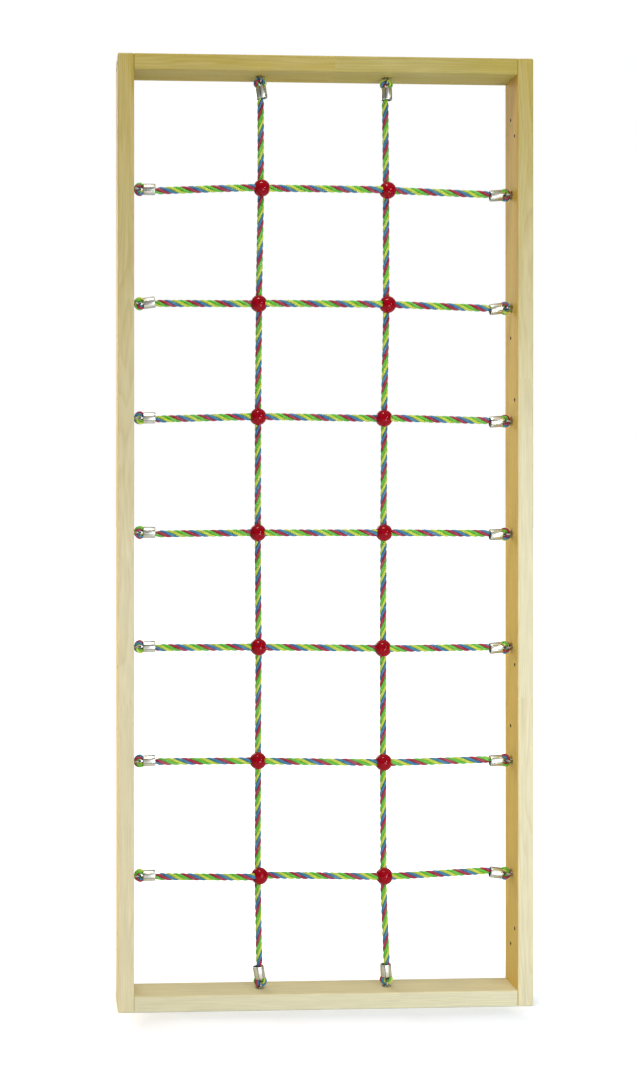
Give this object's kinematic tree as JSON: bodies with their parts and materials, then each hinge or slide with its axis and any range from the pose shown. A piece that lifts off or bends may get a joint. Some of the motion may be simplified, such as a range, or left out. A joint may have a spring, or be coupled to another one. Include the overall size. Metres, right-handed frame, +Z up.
{
  "type": "climbing net",
  "caption": "Rope climbing net in an upright wooden frame: twisted ropes cross in balls and hang by looped, ferruled ends in screw eyes.",
  "frame": {"origin": "middle of the frame's underside, which rests on the floor", "axes": "+X to the right seen from the front, +Y to the back, +Z up"},
  "size_m": [0.9, 0.095, 2.05],
  "materials": {
    "pine": "satin clear lacquer",
    "rope": "four-strand twisted synthetic rope, one strand each in red, blue, yellow and green",
    "ferrule_aluminium": "pressed, bare",
    "red_plastic": "glossy",
    "eye_steel": "zinc plated",
    "zinc_steel": "yellow passivated zinc"
  },
  "bodies": {
    "root": {"left_stile": "pine", "right_stile": "pine", "bottom_rail": "pine", "top_rail": "pine", "corner_screw_bottom_left_front": "zinc_steel", "corner_screw_bottom_left_back": "zinc_steel", "corner_screw_top_left_front": "zinc_steel", "corner_screw_top_left_back": "zinc_steel", "corner_screw_bottom_right_front": "zinc_steel", "corner_screw_bottom_right_back": "zinc_steel", "corner_screw_top_right_front": "zinc_steel", "corner_screw_top_right_back": "zinc_steel", "row_rope_1": "rope", "screw_eye_1_left": "eye_steel", "screw_eye_1_right": "eye_steel", "row_rope_2": "rope", "screw_eye_2_left": "eye_steel", "screw_eye_2_right": "eye_steel", "row_rope_3": "rope", "screw_eye_3_left": "eye_steel", "screw_eye_3_right": "eye_steel", "row_rope_4": "rope", "screw_eye_4_left": "eye_steel", "screw_eye_4_right": "eye_steel", "row_rope_5": "rope", "screw_eye_5_left": "eye_steel", "screw_eye_5_right": "eye_steel", "row_rope_6": "rope", "screw_eye_6_left": "eye_steel", "screw_eye_6_right": "eye_steel", "row_rope_7": "rope", "screw_eye_7_left": "eye_steel", "screw_eye_7_right": "eye_steel", "column_rope_left": "rope", "screw_eye_left_bottom": "eye_steel", "screw_eye_left_top": "eye_steel", "column_rope_right": "rope", "screw_eye_right_bottom": "eye_steel", "screw_eye_right_top": "eye_steel", "ball_1_left": "red_plastic", "ball_1_right": "red_plastic", "ball_2_left": "red_plastic", "ball_2_right": "red_plastic", "ball_3_left": "red_plastic", "ball_3_right": "red_plastic", "ball_4_left": "red_plastic", "ball_4_right": "red_plastic", "ball_5_left": "red_plastic", "ball_5_right": "red_plastic", "ball_6_left": "red_plastic", "ball_6_right": "red_plastic", "ball_7_left": "red_plastic", "ball_7_right": "red_plastic"}
  },
  "joints": []
}
